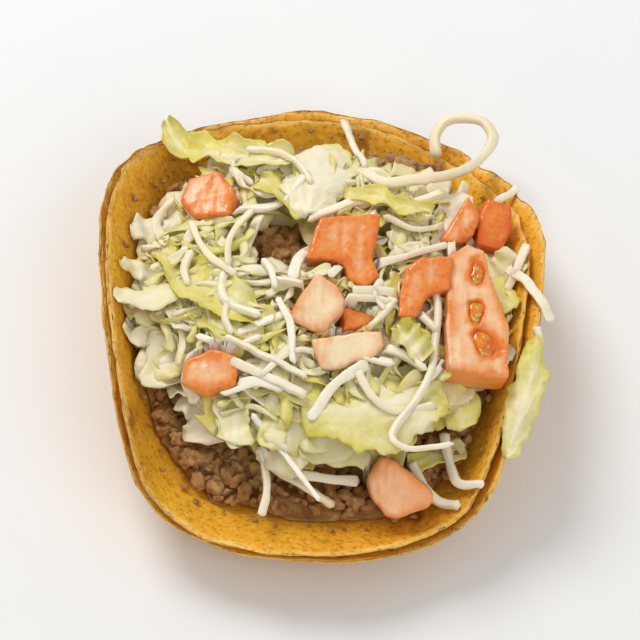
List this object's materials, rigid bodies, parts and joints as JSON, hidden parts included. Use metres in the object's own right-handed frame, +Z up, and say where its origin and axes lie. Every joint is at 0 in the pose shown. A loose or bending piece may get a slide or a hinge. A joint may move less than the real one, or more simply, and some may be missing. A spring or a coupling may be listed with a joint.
{
  "type": "taco",
  "caption": "Soft taco lying open: doubled yellow corn tortillas curled round ground beef, shredded lettuce, white cheese shreds and diced tomato.",
  "frame": {"origin": "middle of the flat underside that the taco rests on", "axes": "+Z up, +Y along the fold towards the more open end, +X across the fold"},
  "size_m": [0.1161, 0.1417, 0.0468],
  "materials": {
    "tortilla": null,
    "beef": null,
    "cheese": null,
    "lettuce": null,
    "tomato": null
  },
  "bodies": {
    "root": {"tortilla_outer": "tortilla", "tortilla_inner": "tortilla", "beef": "beef", "salad": "cheese", "leaf_back_ribbon": "lettuce", "leaf_back_rib": "lettuce", "leaf_right_back": "lettuce", "leaf_right_outer": "lettuce", "leaf_thin_green": "lettuce", "leaf_front_broad": "lettuce", "leaf_right_curly": "lettuce", "leaf_rim_strip": "lettuce", "leaf_left": "lettuce", "tomato_notched": "tomato", "tomato_pale_cube": "tomato", "tomato_pale_end": "tomato", "tomato_under": "tomato", "tomato_wedge": "tomato", "tomato_rim_chunk": "tomato", "tomato_slice": "tomato", "tomato_arm": "tomato", "tomato_front": "tomato", "tomato_left": "tomato", "tomato_left_front": "tomato"}
  },
  "joints": []
}
